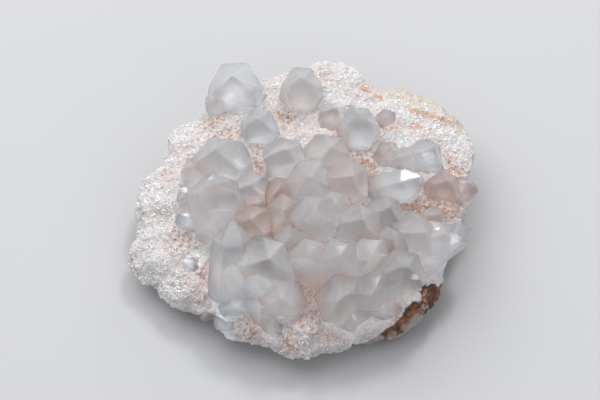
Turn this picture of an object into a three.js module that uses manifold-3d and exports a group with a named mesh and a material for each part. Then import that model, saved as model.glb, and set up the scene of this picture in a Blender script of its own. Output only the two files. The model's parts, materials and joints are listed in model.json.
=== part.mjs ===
// Rhodochrosite specimen: a plate of pale, sugary rhodochrosite rock, flat underneath, with colourless
// to milky six-sided crystals standing on its domed face. Crystals that stand alone are pieces of their
// own, and crystals grown into each other are joined in one piece. Millimetres, +Z up. The origin is the
// middle of the specimen's box, on the surface that it lies on.
import * as THREE from 'three';
import { ConvexGeometry } from 'three/addons/geometries/ConvexGeometry.js';
import { mergeVertices } from 'three/addons/utils/BufferGeometryUtils.js';
import Module from 'manifold-3d';

const wasm = await Module();
wasm.setup();

// Driving dimensions
const seamGap = 0.35; // air left between a crystal and whatever it grows against
const rockColumns = 84; // facets round the rock
const crownHeight = 16.8; // height of the rock at its middle
const relief = { height: 1.3, size: 11 }; // the rock's broad lumps
const knobs = { height: 0.6, size: 4.5 }; // its smaller ones
const firmFoot = 4; // height over which the lumps grow from nothing at the foot
const prismTaper = 4; // degrees that a crystal's sides lean inwards towards its tip
const capSlope = 51.8; // degrees between a crystal's axis and the normal of a cap face
const sideVariety = 0.2; // how much the sides differ in distance from the axis
const otherCaps = 0.35; // how far the other cap faces are cut back, against the main one
const everySecondCap = 0.4; // how much less than that every second cap face is cut back
const rootFloor = 9.5; // height that a crystal's root reaches down to, inside the rock
const rootLengths = [6, 14]; // shortest and longest root, from the crystal's shoulder

// The rock's widest edge, anticlockwise from the right: x, y and the height of the edge there
const rim = [
  [39, 11, 13], [39.4, 17.5, 13], [38.6, 24.2, 13], [33.6, 26.4, 14], [28.5, 31, 14], [23.4, 33, 14],
  [17, 33.5, 14], [13.5, 34.5, 15], [11.5, 38, 15], [4.6, 39.8, 15], [-0.5, 37.5, 15], [-5, 36.6, 14],
  [-9.2, 36, 14], [-15, 35.4, 13], [-19.5, 32.6, 12], [-24.8, 26.4, 11], [-28.6, 23.2, 11],
  [-31.3, 20.3, 10], [-31.8, 17.2, 10], [-34.6, 13, 9], [-38, 8, 9], [-39.5, 4.5, 8], [-39.3, 0, 8],
  [-38.2, -4.2, 7], [-41, -7.4, 7], [-41.2, -10.5, 6], [-39.3, -14.2, 6], [-35.8, -17.3, 6],
  [-32, -21.2, 6], [-28.2, -23.6, 6], [-24, -24.4, 6], [-20.7, -26.2, 6], [-18.4, -28.8, 6],
  [-14.3, -31.2, 6], [-8.5, -32.4, 6], [-4.4, -34.6, 6], [-0.5, -35.4, 6], [5, -33.4, 5],
  [11, -31, 5], [16, -29.8, 4], [23.2, -28.2, 4], [27.2, -24, 5.5], [29.6, -18.8, 7.5], [32.2, -13, 10],
  [34.3, -7.5, 11], [36.3, -1, 12], [37.6, 5, 12],
];

// Rings from the rock's foot to its rim: share of the rim where the rock is undercut, share where its
// wall is steep, height as a share of the rim's
const wallRings = [
  [0.4, 0.45, 0], [0.66, 0.84, 0], [0.82, 0.93, 0.25], [0.94, 0.98, 0.6], [1, 1, 1],
];
const steepWallAt = -50; // degrees round from +X to the middle of the steep wall
const steepWallWidth = 75; // degrees to either side until the rock is fully undercut again
// Rings from the rim up to the crown: share of the rim, and how far up from the rim's height
const crownRings = [
  [0.985, 0.24], [0.94, 0.44], [0.87, 0.6], [0.78, 0.72], [0.67, 0.82], [0.55, 0.9], [0.42, 0.95],
  [0.29, 0.98], [0.15, 1],
];
const rockCore = new THREE.Vector3(0, 0, 6); // lumps push out from here

// Crystals by piece. at: the middle of the crystal where its sides meet its cap; radius: axis to side;
// axis: the way it points; turn: degrees about its own axis; blunt: how far its cap is cut back, from
// 0 for a sharp point; main: the cap face that has grown largest.
const crystals = {
  top_left_pair: [
    { at: [-16.6, 29, 20.6], radius: 5.4, axis: [-0.1, -0.35, 1], turn: 31, blunt: 0.75, main: 4 },
    { at: [-22, 27.4, 17.4], radius: 2, axis: [-0.5, 0, 1], turn: 10, blunt: 0.43, main: 3 },
  ],
  top_middle_crystal: [
    { at: [-0.9, 28.3, 21.6], radius: 4.4, axis: [0.05, -0.3, 1], turn: 30, blunt: 0.43, main: 4 },
  ],
  upper_left_crystal: [
    { at: [-10.8, 17.9, 20.5], radius: 4, axis: [-0.1, -0.4, 1], turn: 20, blunt: 0.65, main: 4 },
  ],
  upper_right_pair: [
    { at: [12.4, 17.6, 22], radius: 4, axis: [0, -0.15, 1], turn: 30, blunt: 0.51, main: 4 },
    { at: [6.6, 21.4, 19], radius: 3.4, axis: [0.1, 0, 1], turn: 8, blunt: 0.58, main: 4 },
  ],
  small_pink_crystal: [
    { at: [18.8, 21.8, 16.8], radius: 2.7, axis: [0.1, -0.4, 1], turn: 15, blunt: 0.58, main: 5 },
  ],
  centre_cluster: [
    { at: [-4.9, 8, 22], radius: 4.7, axis: [-0.1, -0.25, 1], turn: 10, blunt: 0.65, main: 4 },
    { at: [5, 8.6, 22], radius: 4.8, axis: [0.05, -0.4, 1], turn: 22, blunt: 0.51, main: 5 },
    { at: [9.4, 1, 23], radius: 4.8, axis: [0.1, -0.45, 1], turn: 2, blunt: 0.65, main: 4 },
    { at: [0.9, 1.2, 22.5], radius: 4.6, axis: [0, -0.5, 1], turn: 28, blunt: 0.43, main: 4 },
    { at: [-5.8, -0.4, 20.5], radius: 3.4, axis: [-0.1, -0.4, 1], turn: 14, blunt: 0.58, main: 5 },
    { at: [-5.2, -6.8, 21], radius: 4.1, axis: [-0.05, -0.5, 1], turn: 6, blunt: 0.43, main: 3 },
    { at: [2.5, -9.5, 24], radius: 5.2, axis: [0, -0.5, 1], turn: 26, blunt: 0.72, main: 4 },
    { at: [12.2, -10.8, 23.5], radius: 4.5, axis: [0.1, -0.5, 1], turn: 9, blunt: 0.58, main: 4 },
    { at: [18.3, -6.7, 21.8], radius: 3.8, axis: [0.2, -0.45, 1], turn: 20, blunt: 0.72, main: 4 },
    { at: [7, -4.4, 21.5], radius: 3, axis: [0.05, -0.5, 1], turn: 17, blunt: 0.29, main: 4 },
    { at: [0.8, -20, 22.4], radius: 4.9, axis: [-0.1, -0.6, 1], turn: 11, blunt: 0.75, main: 4 },
    { at: [7.6, -20.2, 22.8], radius: 4.8, axis: [0.05, -0.6, 1], turn: 24, blunt: 0.72, main: 4 },
    { at: [14.6, -18.6, 21.6], radius: 4.1, axis: [0.1, -0.6, 1], turn: 28, blunt: 0.51, main: 5 },
    { at: [-3.6, -14.2, 21], radius: 3.4, axis: [-0.1, -0.5, 1], turn: 3, blunt: 0.43, main: 5 },
    { at: [19.4, -14, 20.5], radius: 3.4, axis: [0.2, -0.5, 1], turn: 9, blunt: 0.43, main: 3 },
  ],
  left_cluster: [
    { at: [-19.8, 8, 21], radius: 5.8, axis: [-0.2, -0.35, 1], turn: 18, blunt: 0.72, main: 4 },
    { at: [-27.2, 6.2, 17.3], radius: 4.1, axis: [-0.5, -0.2, 1], turn: 0, blunt: 0.58, main: 3 },
    { at: [-21, -2.6, 21.8], radius: 5.9, axis: [-0.25, -0.3, 1], turn: 8, blunt: 0.65, main: 5 },
    { at: [-27, 0.6, 18], radius: 2.9, axis: [-0.7, -0.2, 1], turn: 24, blunt: 0.51, main: 4 },
    { at: [-27.4, -5, 17.5], radius: 2.8, axis: [-0.7, -0.4, 1], turn: 33, blunt: 0.43, main: 4 },
    { at: [-12.4, 0.8, 20], radius: 4, axis: [-0.1, -0.45, 1], turn: 10, blunt: 0.43, main: 4 },
    { at: [-12, -9, 21], radius: 3.8, axis: [-0.1, -0.5, 1], turn: 10, blunt: 0.58, main: 4 },
    { at: [-20.4, -9.4, 18.6], radius: 4.8, axis: [-0.25, -0.6, 1], turn: 20, blunt: 0.72, main: 4 },
  ],
  lower_left_cluster: [
    { at: [-16.5, -12.9, 22], radius: 3.7, axis: [0.04, 0.65, 0.76], turn: 32, blunt: 0.22, main: 1 },
    { at: [-9, -20.6, 22], radius: 6, axis: [-0.05, -0.6, 1], turn: 16, blunt: 0.72, main: 4 },
    { at: [-15.9, -21.2, 17.6], radius: 4.4, axis: [-0.2, -0.35, 1], turn: 0, blunt: 0.51, main: 4 },
    { at: [-15.4, -26.2, 12.6], radius: 4, axis: [-0.15, -0.9, 1], turn: 21, blunt: 0.51, main: 4 },
    { at: [-10.8, -28, 14], radius: 3.4, axis: [-0.1, -1, 1], turn: 12, blunt: 0.58, main: 3 },
    { at: [-5.2, -26.6, 17.3], radius: 4.4, axis: [0, -0.8, 1], turn: 25, blunt: 0.43, main: 4 },
    { at: [-10.8, -23.6, 18.4], radius: 3.1, axis: [-0.1, -0.7, 1], turn: 4, blunt: 0.43, main: 4 },
    { at: [-19.2, -16.4, 16.5], radius: 2.5, axis: [-0.5, -0.4, 1], turn: 7, blunt: 0.29, main: 4 },
    { at: [-17.6, -29, 8.6], radius: 3.1, axis: [-0.2, -1, 0.7], turn: 5, blunt: 0.58, main: 4 },
    { at: [-12.8, -30.8, 9], radius: 2.9, axis: [0, -1, 0.6], turn: 17, blunt: 0.58, main: 4 },
    { at: [-7.2, -30.8, 11], radius: 2.7, axis: [0.1, -1, 0.7], turn: 9, blunt: 0.43, main: 4 },
  ],
  lower_cluster: [
    { at: [8.3, -27.2, 17.8], radius: 5.3, axis: [0, -0.75, 1], turn: 19, blunt: 0.58, main: 5 },
    { at: [15.4, -25.4, 18.8], radius: 4.5, axis: [0.1, -0.6, 1], turn: 28, blunt: 0.51, main: 5 },
    { at: [11, -29.3, 12.6], radius: 3.2, axis: [0.05, -1, 0.8], turn: 19, blunt: 0.51, main: 5 },
    { at: [17, -26.6, 13.9], radius: 3.2, axis: [0.15, -0.9, 1], turn: 3, blunt: 0.43, main: 4 },
    { at: [21.6, -21.8, 19.8], radius: 5.5, axis: [0.2, -0.5, 1], turn: 23, blunt: 0.72, main: 4 },
  ],
  right_cluster: [
    { at: [24.6, -12.2, 20.3], radius: 5, axis: [0.35, -0.45, 1], turn: 2, blunt: 0.72, main: 4 },
    { at: [30.4, -11, 18], radius: 3.8, axis: [0.6, -0.4, 1], turn: 26, blunt: 0.58, main: 4 },
    { at: [34.9, -8.2, 15.6], radius: 3.1, axis: [0.85, 0.55, 0.15], turn: 10, blunt: 0.43, main: 2 },
    { at: [28, -16.2, 15.6], radius: 2.8, axis: [0.6, -0.5, 1], turn: 17, blunt: 0.43, main: 4 },
    { at: [29.5, -5.6, 17.5], radius: 2.9, axis: [0.4, -0.3, 1], turn: 4, blunt: 0.58, main: 4 },
  ],
  bright_faced_crystal: [
    { at: [24.1, 3.4, 19.4], radius: 3.47, axis: [0.79, -0.03, 0.52], turn: 0, blunt: 0.28, main: 1 },
  ],
  glinting_cluster: [
    { at: [28.6, 11, 18], radius: 4.6, axis: [0.3, -0.1, 1], turn: 12, blunt: 0.75, main: 4 },
    { at: [19.4, 11.8, 18], radius: 3.3, axis: [0.1, -0.1, 1], turn: 30, blunt: 0.51, main: 4 },
    { at: [23.8, 10.6, 17.5], radius: 3.1, axis: [0.2, -0.2, 1], turn: 6, blunt: 0.43, main: 4 },
  ],
  right_edge_pair: [
    { at: [37.5, 4, 15.4], radius: 2.6, axis: [1, -0.1, 0.45], turn: 8, blunt: 0.43, main: 1 },
    { at: [31.8, 2.8, 17.4], radius: 4, axis: [0.2, -0.3, 1], turn: 12, blunt: 0.65, main: 4 },
  ],
  low_left_point: [
    { at: [-25.8, -14.8, 13], radius: 2.6, axis: [-0.9, -0.2, 1], turn: 13, blunt: 0.14, main: 4 },
  ],
  low_left_stub: [
    { at: [-22.6, -25.2, 7], radius: 1.5, axis: [-0.5, -1, 0.3], turn: 24, blunt: 0.29, main: 4 },
  ],
};

// Colours
const rockColour = '#e3d8d5';
const clearColour = '#cfcdd0';
const pinkColour = '#cfb6ae';
const pinkPieces = ['small_pink_crystal', 'right_edge_pair'];

const radians = THREE.MathUtils.degToRad;
const parallel = 1e-6; // three planes whose normals span less than this meet in no corner
const onPlane = 1e-5; // a corner this near to a plane is on it
const sameCorner = 1e-3; // corners nearer to each other than this are one
const sameVertex = 1e-4; // and so are a mesh's vertices

// A fixed pseudo-random value from 0 to 1 for a place
function scatter(x, y, z) {
  const wave = Math.sin(x * 127.1 + y * 311.7 + z * 74.7) * 43758.5453;
  return wave - Math.floor(wave);
}

// Smooth lumps from -1 to 1, one lump for each size millimetres
function lumps(point, size) {
  const scaled = point.clone().divideScalar(size);
  const cell = scaled.clone().floor();
  const part = scaled.sub(cell);
  const ease = [part.x, part.y, part.z].map((t) => t * t * (3 - 2 * t));
  let sum = 0;
  for (let corner = 0; corner < 8; corner++) {
    const step = [corner & 1, (corner >> 1) & 1, corner >> 2];
    const weight = step.reduce((w, s, i) => w * (s ? ease[i] : 1 - ease[i]), 1);
    sum += weight * scatter(cell.x + step[0], cell.y + step[1], cell.z + step[2]);
  }
  return 2 * sum - 1;
}

// How steep the rock's wall is at an angle round it, from 0, undercut, to 1, upright
function wallSteepness(angle) {
  const turned = THREE.MathUtils.euclideanModulo(angle - radians(steepWallAt), 2 * Math.PI);
  const away = Math.min(turned, 2 * Math.PI - turned);
  return THREE.MathUtils.smoothstep(1 - away / radians(steepWallWidth), 0, 1);
}

// The rock: rings of its rim from the foot's middle round to the crown, lumpy everywhere but on the foot
function rockGeometry() {
  const curve = new THREE.CatmullRomCurve3(rim.map((point) => new THREE.Vector3(...point)), true);
  const edges = curve.getSpacedPoints(rockColumns).slice(0, rockColumns);
  const points = [new THREE.Vector3(0, 0, 0)];
  for (const [undercut, steep, lift] of wallRings) {
    for (const edge of edges) {
      const share = THREE.MathUtils.lerp(undercut, steep, wallSteepness(Math.atan2(edge.y, edge.x)));
      points.push(new THREE.Vector3(edge.x * share, edge.y * share, edge.z * lift));
    }
  }
  for (const [share, lift] of crownRings) {
    for (const edge of edges) {
      const height = THREE.MathUtils.lerp(edge.z, crownHeight, lift);
      points.push(new THREE.Vector3(edge.x * share, edge.y * share, height));
    }
  }
  points.push(new THREE.Vector3(0, 0, crownHeight));
  for (const point of points) {
    if (point.z === 0) continue;
    const push = relief.height * lumps(point, relief.size) + knobs.height * lumps(point, knobs.size);
    const outward = point.clone().sub(rockCore).normalize();
    point.addScaledVector(outward, push * Math.min(1, point.z / firmFoot));
  }
  const faces = [];
  const lastRing = wallRings.length + crownRings.length - 1;
  const vertex = (ring, column) => 1 + ring * rockColumns + (column % rockColumns);
  for (let column = 0; column < rockColumns; column++) {
    faces.push(0, vertex(0, column + 1), vertex(0, column));
    for (let ring = 0; ring < lastRing; ring++) {
      const [a, b] = [vertex(ring, column), vertex(ring, column + 1)];
      const [c, d] = [vertex(ring + 1, column), vertex(ring + 1, column + 1)];
      faces.push(a, b, d, a, d, c);
    }
    faces.push(vertex(lastRing, column), vertex(lastRing, column + 1), points.length - 1);
  }
  const geometry = new THREE.BufferGeometry().setFromPoints(points);
  geometry.setIndex(faces);
  return geometry;
}

// The same rock with every face moved out by a distance, to cut crystals back from it
function grownRock(geometry, distance) {
  const grown = geometry.clone();
  grown.computeVertexNormals();
  const { position, normal } = grown.attributes;
  for (let i = 0; i < position.count; i++) {
    position.setXYZ(
      i,
      position.getX(i) + distance * normal.getX(i),
      position.getY(i) + distance * normal.getY(i),
      position.getZ(i) + distance * normal.getZ(i),
    );
  }
  return grown;
}

// The corners of the convex body inside a set of planes
function cornersInside(planes) {
  const corners = [];
  for (let i = 0; i < planes.length; i++) {
    for (let j = i + 1; j < planes.length; j++) {
      for (let k = j + 1; k < planes.length; k++) {
        const [a, b, c] = [planes[i], planes[j], planes[k]];
        const bc = b.normal.clone().cross(c.normal);
        const spread = a.normal.dot(bc);
        if (Math.abs(spread) < parallel) continue;
        const point = bc.multiplyScalar(-a.constant)
          .addScaledVector(c.normal.clone().cross(a.normal), -b.constant)
          .addScaledVector(a.normal.clone().cross(b.normal), -c.constant)
          .divideScalar(spread);
        const inside = planes.every((plane) => plane.distanceToPoint(point) < onPlane);
        const isNew = corners.every((corner) => corner.distanceTo(point) > sameCorner);
        if (inside && isNew) corners.push(point);
      }
    }
  }
  return corners;
}

// One crystal: six leaning sides, six cap faces of uneven size and a flat root, its shoulder at the
// origin and its axis along +Z, moved out all round by a distance
function crystalPlanes({ at, radius, blunt, main }, root, distance) {
  const planes = [new THREE.Plane(new THREE.Vector3(0, 0, -1), -root)];
  const slope = radians(capSlope);
  const tip = radius * Math.sin(slope); // from the shoulder's middle to a cap face that isn't cut back
  for (let side = 0; side < 6; side++) {
    const around = radians(60 * side);
    const uneven = scatter(at[0], at[1], side);
    const outward = (tilt) => new THREE.Vector3(
      Math.cos(around) * Math.sin(tilt),
      Math.sin(around) * Math.sin(tilt),
      Math.cos(tilt),
    );
    const lesser = otherCaps * (side % 2 ? everySecondCap : 1) * (0.5 + uneven);
    const cutBack = side === main ? blunt : blunt * lesser;
    const width = radius * (1 + sideVariety * (uneven - 0.5));
    planes.push(new THREE.Plane(outward(radians(90 - prismTaper)), -width));
    planes.push(new THREE.Plane(outward(slope), -tip * (1 - cutBack)));
  }
  for (const plane of planes) plane.constant -= distance;
  return planes;
}

function crystalGeometry(crystal, distance) {
  const axis = new THREE.Vector3(...crystal.axis).normalize();
  const root = THREE.MathUtils.clamp((crystal.at[2] - rootFloor) / axis.z, ...rootLengths);
  const stand = new THREE.Quaternion().setFromUnitVectors(new THREE.Vector3(0, 0, 1), axis);
  return new ConvexGeometry(cornersInside(crystalPlanes(crystal, root, distance)))
    .rotateZ(radians(crystal.turn))
    .applyQuaternion(stand)
    .translate(...crystal.at);
}

// A closed mesh as a solid that can be joined and cut
function solidOf(geometry) {
  const bare = geometry.clone();
  bare.deleteAttribute('normal');
  bare.deleteAttribute('uv');
  const merged = mergeVertices(bare, sameVertex);
  return new wasm.Manifold(new wasm.Mesh({
    numProp: 3,
    vertProperties: merged.attributes.position.array,
    triVerts: new Uint32Array(merged.index.array),
  }));
}

function geometryOf(solid) {
  const mesh = solid.getMesh();
  return new THREE.BufferGeometry()
    .setAttribute('position', new THREE.BufferAttribute(mesh.vertProperties, 3))
    .setIndex(new THREE.BufferAttribute(mesh.triVerts, 1));
}

const joined = (solids) => solids.reduce((all, solid) => all.add(solid));

// A cluster is its crystals joined, cut back from the rock and from the clusters already standing,
// without the crumbs that the cut leaves
function clusterSolid(members, standing) {
  const whole = joined(members.map((crystal) => solidOf(crystalGeometry(crystal, 0)))).subtract(standing);
  return whole.decompose().reduce((largest, body) => (body.volume() > largest.volume() ? body : largest));
}

const specimen = new THREE.Group();

function addPiece(name, geometry, material) {
  const mesh = new THREE.Mesh(geometry, material);
  mesh.name = name;
  specimen.add(mesh);
}

const rock = rockGeometry();
addPiece('matrix_rock', rock, new THREE.MeshStandardMaterial({ color: rockColour, roughness: 0.85 }));

let standing = solidOf(grownRock(rock, seamGap));
for (const [name, members] of Object.entries(crystals)) {
  const color = pinkPieces.includes(name) ? pinkColour : clearColour;
  const glassy = new THREE.MeshStandardMaterial({ color, roughness: 0.2, transparent: true, opacity: 0.6 });
  addPiece(name, geometryOf(clusterSolid(members, standing)), glassy);
  standing = standing.add(joined(members.map((crystal) => solidOf(crystalGeometry(crystal, seamGap)))));
}

// Brings the middle of the whole specimen's box over the origin
const middle = new THREE.Box3().setFromObject(specimen).getCenter(new THREE.Vector3());
specimen.position.set(-middle.x, -middle.y, 0);

export default specimen;
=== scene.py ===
import json
import math

import bmesh
import bpy
import numpy as np
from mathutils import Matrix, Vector
from mathutils.bvhtree import BVHTree
from mathutils.noise import noise as noiseAt

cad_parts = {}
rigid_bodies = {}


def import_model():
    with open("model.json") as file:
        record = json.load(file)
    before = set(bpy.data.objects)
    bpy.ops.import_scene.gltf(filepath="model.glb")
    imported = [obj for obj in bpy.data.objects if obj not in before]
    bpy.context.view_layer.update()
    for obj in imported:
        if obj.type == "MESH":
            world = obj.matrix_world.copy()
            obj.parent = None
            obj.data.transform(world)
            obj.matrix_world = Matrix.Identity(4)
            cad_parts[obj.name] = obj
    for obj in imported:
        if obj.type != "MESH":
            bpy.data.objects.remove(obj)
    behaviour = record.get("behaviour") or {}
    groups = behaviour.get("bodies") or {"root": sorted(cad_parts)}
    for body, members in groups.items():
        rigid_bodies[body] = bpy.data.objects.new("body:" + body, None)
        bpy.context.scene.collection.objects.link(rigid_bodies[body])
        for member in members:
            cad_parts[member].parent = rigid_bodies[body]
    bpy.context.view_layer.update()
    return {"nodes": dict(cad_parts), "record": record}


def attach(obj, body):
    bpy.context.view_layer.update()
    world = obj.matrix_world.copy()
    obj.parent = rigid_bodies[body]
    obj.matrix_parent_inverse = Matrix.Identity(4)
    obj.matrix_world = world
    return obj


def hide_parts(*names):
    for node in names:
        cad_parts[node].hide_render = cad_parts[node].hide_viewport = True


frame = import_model()
scene = bpy.context.scene
scene.view_settings.view_transform = "Standard"
scene.cycles.max_bounces = 24  # light goes through several crystals
scene.cycles.transmission_bounces = 24
scene.cycles.glossy_bounces = 12
scene.cycles.diffuse_bounces = 6
mm = 0.001


# small helpers

def addNode(tree, kind, **settings):
    node = tree.nodes.new(kind)
    for key, value in settings.items():
        setattr(node, key, value)
    return node


def feed(tree, source, target):
    # links a socket, or sets a plain value
    if isinstance(source, bpy.types.NodeSocket):
        tree.links.new(source, target)
    else:
        target.default_value = source


def calc(tree, operation, *values, clamp=False):
    node = addNode(tree, "ShaderNodeMath", operation=operation, use_clamp=clamp)
    for value, socket in zip(values, node.inputs):
        feed(tree, value, socket)
    return node.outputs[0]


def remap(tree, value, low, high, newLow=0.0, newHigh=1.0, smooth=True):
    node = addNode(tree, "ShaderNodeMapRange", interpolation_type="SMOOTHSTEP" if smooth else "LINEAR")
    for name, source in (("Value", value), ("From Min", low), ("From Max", high),
                         ("To Min", newLow), ("To Max", newHigh)):
        feed(tree, source, node.inputs[name])
    return node.outputs["Result"]


def noise(tree, vector, size, detail=2.0, roughness=0.5, distortion=0.0):
    # size is the pattern's size in metres
    node = addNode(tree, "ShaderNodeTexNoise")
    feed(tree, vector, node.inputs["Vector"])
    feed(tree, 1 / size, node.inputs["Scale"])
    feed(tree, detail, node.inputs["Detail"])
    feed(tree, roughness, node.inputs["Roughness"])
    feed(tree, distortion, node.inputs["Distortion"])
    return node.outputs[0]


def cells(tree, vector, size, output="Distance", **settings):
    node = addNode(tree, "ShaderNodeTexVoronoi", **settings)
    feed(tree, vector, node.inputs["Vector"])
    feed(tree, 1 / size, node.inputs["Scale"])
    return node.outputs[output]


def blendColours(tree, share, first, second, mode="MIX"):
    node = addNode(tree, "ShaderNodeMix", data_type="RGBA", blend_type=mode, clamp_factor=True)
    feed(tree, share, node.inputs[0])
    feed(tree, first, node.inputs[6])
    feed(tree, second, node.inputs[7])
    return node.outputs[2]


def attribute(tree, name):
    return addNode(tree, "ShaderNodeAttribute", attribute_name=name).outputs["Fac"]


def newMaterial(name):
    material = bpy.data.materials.new(name)
    material.use_nodes = True
    tree = material.node_tree
    return material, tree, tree.nodes["Principled BSDF"]


def newTree(name, kind, inputs, outputs):
    tree = bpy.data.node_groups.new(name, kind)
    for label, socketKind, value in inputs:
        socket = tree.interface.new_socket(label, in_out="INPUT", socket_type=socketKind)
        if value is not None:
            socket.default_value = value
    for label, socketKind in outputs:
        tree.interface.new_socket(label, in_out="OUTPUT", socket_type=socketKind)
    return tree, addNode(tree, "NodeGroupInput").outputs, addNode(tree, "NodeGroupOutput").inputs


def place(tree, group, **values):
    # a shader node group with its values
    node = addNode(tree, "ShaderNodeGroup", node_tree=group)
    for name, value in values.items():
        feed(tree, value, node.inputs[name])
    return node.outputs


def settle(piece):
    # turns a piece with live modifiers into a plain mesh
    graph = bpy.context.evaluated_depsgraph_get()
    done = bpy.data.meshes.new_from_object(piece.evaluated_get(graph), depsgraph=graph)
    piece.modifiers.clear()
    old, piece.data = piece.data, done
    bpy.data.meshes.remove(old)
    done.name = piece.name


def runTree(piece, tree, **values):
    modifier = piece.modifiers.new(tree.name, "NODES")
    modifier.node_group = tree
    for item in tree.interface.items_tree:
        if item.item_type == "SOCKET" and item.in_out == "INPUT" and item.name in values:
            modifier[item.identifier] = values[item.name]
    piece.update_tag()
    settle(piece)


def voxelMesh(piece, size):
    modifier = piece.modifiers.new("voxels", "REMESH")
    modifier.mode = "VOXEL"
    modifier.voxel_size = size
    settle(piece)


def meshPoints(mesh):
    found = np.empty(len(mesh.vertices) * 3, np.float32)
    mesh.vertices.foreach_get("co", found)
    return found.reshape(-1, 3).astype(float)


def setPoints(mesh, points):
    mesh.vertices.foreach_set("co", points.astype(np.float32).ravel())
    mesh.update()


def meshNormals(mesh):
    found = np.empty(len(mesh.vertices) * 3, np.float32)
    mesh.vertices.foreach_get("normal", found)
    return found.reshape(-1, 3).astype(float)


def storeValues(mesh, name, values):
    layer = mesh.attributes.get(name) or mesh.attributes.new(name, "FLOAT", "POINT")
    layer.data.foreach_set("value", np.asarray(values, np.float32))


def smoothFaces(mesh):
    mesh.polygons.foreach_set("use_smooth", [True] * len(mesh.polygons))
    mesh.update()


def newPiece(name, mesh):
    piece = bpy.data.objects.new(name, mesh)
    scene.collection.objects.link(piece)
    return piece


def mergedCopy(node, name):
    # the CAD node's loose triangles, merged, in a mesh of its own
    source = frame["nodes"][node].data
    mesh = bpy.data.meshes.new(name)
    mesh.from_pydata(meshPoints(source).tolist(), [], [tuple(f.vertices) for f in source.polygons])
    work = bmesh.new()
    work.from_mesh(mesh)
    bmesh.ops.remove_doubles(work, verts=work.verts, dist=2e-6)
    work.to_mesh(mesh)
    work.free()
    return newPiece(name, mesh)


def bvhOf(mesh):
    return BVHTree.FromPolygons([v.co for v in mesh.vertices], [tuple(f.vertices) for f in mesh.polygons])


def spread(mesh, values, passes):
    # evens out values (or points) between vertices that share an edge
    ends = np.empty(len(mesh.edges) * 2, np.int32)
    mesh.edges.foreach_get("vertices", ends)
    first, second = ends.reshape(-1, 2).T
    count = len(values)
    shared = np.bincount(first, minlength=count) + np.bincount(second, minlength=count)
    columns = values.reshape(count, -1).T
    for _ in range(passes):
        sums = [np.bincount(first, c[second], count) + np.bincount(second, c[first], count) for c in columns]
        columns = [0.5 * c + 0.5 * total / shared for c, total in zip(columns, sums)]
    return np.stack(columns, axis=1).reshape(values.shape)


def waves(points, size, seed=0):
    # smooth noise from -1 to 1 at each point
    shift = Vector((seed * 7.3, seed * 3.1, seed * 5.7))
    return np.array([noiseAt(Vector(p) / size + shift) for p in points])


def ramp(values, low, high):
    share = np.clip((values - low) / (high - low), 0, 1)
    return share * share * (3 - 2 * share)


crystalNodes = [node for node in sorted(frame["nodes"]) if node != "matrix_rock"]


# zones of the rock, in millimetres: where its stains, rust and cream rim lie

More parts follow.
